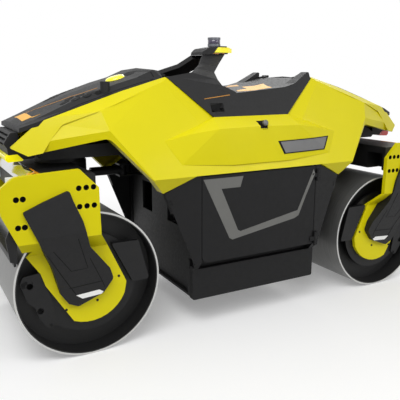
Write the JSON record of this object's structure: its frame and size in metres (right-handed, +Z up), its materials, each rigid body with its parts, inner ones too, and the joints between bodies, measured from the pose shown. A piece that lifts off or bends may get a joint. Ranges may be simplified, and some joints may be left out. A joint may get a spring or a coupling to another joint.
{
  "type": "tandem roller",
  "caption": "Driverless tandem roller for compacting asphalt: faceted low body with a sensor mast, carried by pivoting yokes on smooth steel drums.",
  "frame": {"origin": "centre of the bounding box on the floor, midway between the two drums", "axes": "+X forward along the direction of travel, +Y to the machine's left, +Z up"},
  "size_m": [4.6312, 1.752, 2.6359],
  "materials": {
    "yellow_paint": "gloss",
    "black_moulding": "fine grain",
    "grey_panel": "satin",
    "black_steel": "satin",
    "drum_steel": "turned",
    "bare_steel": "ground",
    "engine_grey": "cast",
    "yellow_lens": "clear",
    "red_lens": "clear",
    "clear_lens": "clear",
    "scanner_housing": "anodised"
  },
  "bodies": {
    "chassis": {"main_frame": "black_steel", "engine_block": "engine_grey", "front_arm": "black_steel", "rear_arm": "black_steel", "left_shell": "yellow_paint", "right_shell": "yellow_paint", "left_flank": "grey_panel", "right_flank": "grey_panel", "left_skirt": "grey_panel", "right_skirt": "grey_panel", "saddle_deck": "black_moulding", "master_switch": "black_moulding", "mast_wings": "black_moulding", "mast_bridge": "black_moulding", "scanner": "scanner_housing", "mast_dome": "yellow_paint", "front_nose": "black_moulding", "rear_nose": "black_moulding", "front_lens": "yellow_lens", "rear_lens": "red_lens"},
    "left_door": {"left_door": "grey_panel"},
    "right_door": {"right_door": "grey_panel"},
    "front_hood": {"front_hood": "black_moulding", "position_dome": "yellow_paint", "round_cap": "black_moulding"},
    "rear_hood": {"rear_hood": "black_moulding"},
    "front_yoke": {"front_crosshead": "black_steel", "front_left_plate": "yellow_paint", "front_right_plate": "yellow_paint", "front_left_cover": "black_moulding", "front_right_cover": "black_moulding", "front_hubs": "black_steel", "front_brackets": "black_steel", "front_scraper": "black_steel", "front_lamps": "clear_lens"},
    "rear_yoke": {"rear_crosshead": "black_steel", "rear_left_plate": "yellow_paint", "rear_right_plate": "yellow_paint", "rear_left_cover": "black_moulding", "rear_right_cover": "black_moulding", "rear_hubs": "black_steel", "rear_brackets": "black_steel", "rear_scraper": "black_steel", "rear_lamps": "red_lens"},
    "front_drum": {"front_drum": "drum_steel"},
    "rear_drum": {"rear_drum": "drum_steel"},
    "front_barrel": {"front_barrel": "black_steel"},
    "front_rod": {"front_rod": "bare_steel"},
    "rear_barrel": {"rear_barrel": "black_steel"},
    "rear_rod": {"rear_rod": "bare_steel"}
  },
  "joints": [
    {"name": "front_steering", "type": "hinge", "parent": "chassis", "child": "front_yoke", "pos_m": [1.63, 0, 1.415], "axis": [0, 0, 1], "range_deg": [-25, 25]},
    {"name": "rear_steering", "type": "hinge", "parent": "chassis", "child": "rear_yoke", "pos_m": [-1.63, 0, 1.415], "axis": [0, 0, 1], "range_deg": [-25, 25]},
    {"name": "front_drum_spin", "type": "hinge", "parent": "front_yoke", "child": "front_drum", "pos_m": [1.63, 0, 0.61], "axis": [0, 1, 0], "continuous": true},
    {"name": "rear_drum_spin", "type": "hinge", "parent": "rear_yoke", "child": "rear_drum", "pos_m": [-1.63, 0, 0.61], "axis": [0, 1, 0], "continuous": true},
    {"name": "left_door_hinge", "type": "hinge", "parent": "chassis", "child": "left_door", "pos_m": [-0.644, 0.836, 1.03], "axis": [0, 0, 1], "range_deg": [0, 105]},
    {"name": "right_door_hinge", "type": "hinge", "parent": "chassis", "child": "right_door", "pos_m": [-0.644, -0.836, 1.03], "axis": [0, 0, -1], "range_deg": [0, 105]},
    {"name": "front_hood_hinge", "type": "hinge", "parent": "chassis", "child": "front_hood", "pos_m": [0.804, 0, 2.29], "axis": [0, -1, 0], "range_deg": [0, 50]},
    {"name": "rear_hood_hinge", "type": "hinge", "parent": "chassis", "child": "rear_hood", "pos_m": [-0.804, 0, 2.262], "axis": [0, 1, 0], "range_deg": [0, 50]},
    {"name": "front_barrel_swing", "type": "hinge", "parent": "chassis", "child": "front_barrel", "pos_m": [0.93, -0.3, 1.35], "axis": [0, 0, 1], "range_deg": [-8, 8]},
    {"name": "rear_barrel_swing", "type": "hinge", "parent": "chassis", "child": "rear_barrel", "pos_m": [-0.93, -0.3, 1.35], "axis": [0, 0, 1], "range_deg": [-8, 8]},
    {"name": "front_rod_slide", "type": "slide", "parent": "front_barrel", "child": "front_rod", "axis": [1, 0, 0], "range_m": [-0.125, 0.125]},
    {"name": "rear_rod_slide", "type": "slide", "parent": "rear_barrel", "child": "rear_rod", "axis": [-1, 0, 0], "range_m": [-0.125, 0.125]}
  ],
  "couplings": [
    {"joint": "front_barrel_swing", "follows": "front_steering", "ratio": -0.295},
    {"joint": "rear_barrel_swing", "follows": "rear_steering", "ratio": -0.295},
    {"joint": "front_rod_slide", "follows": "front_steering", "m_per_rad": 0.2806},
    {"joint": "rear_rod_slide", "follows": "rear_steering", "m_per_rad": -0.2806}
  ]
}
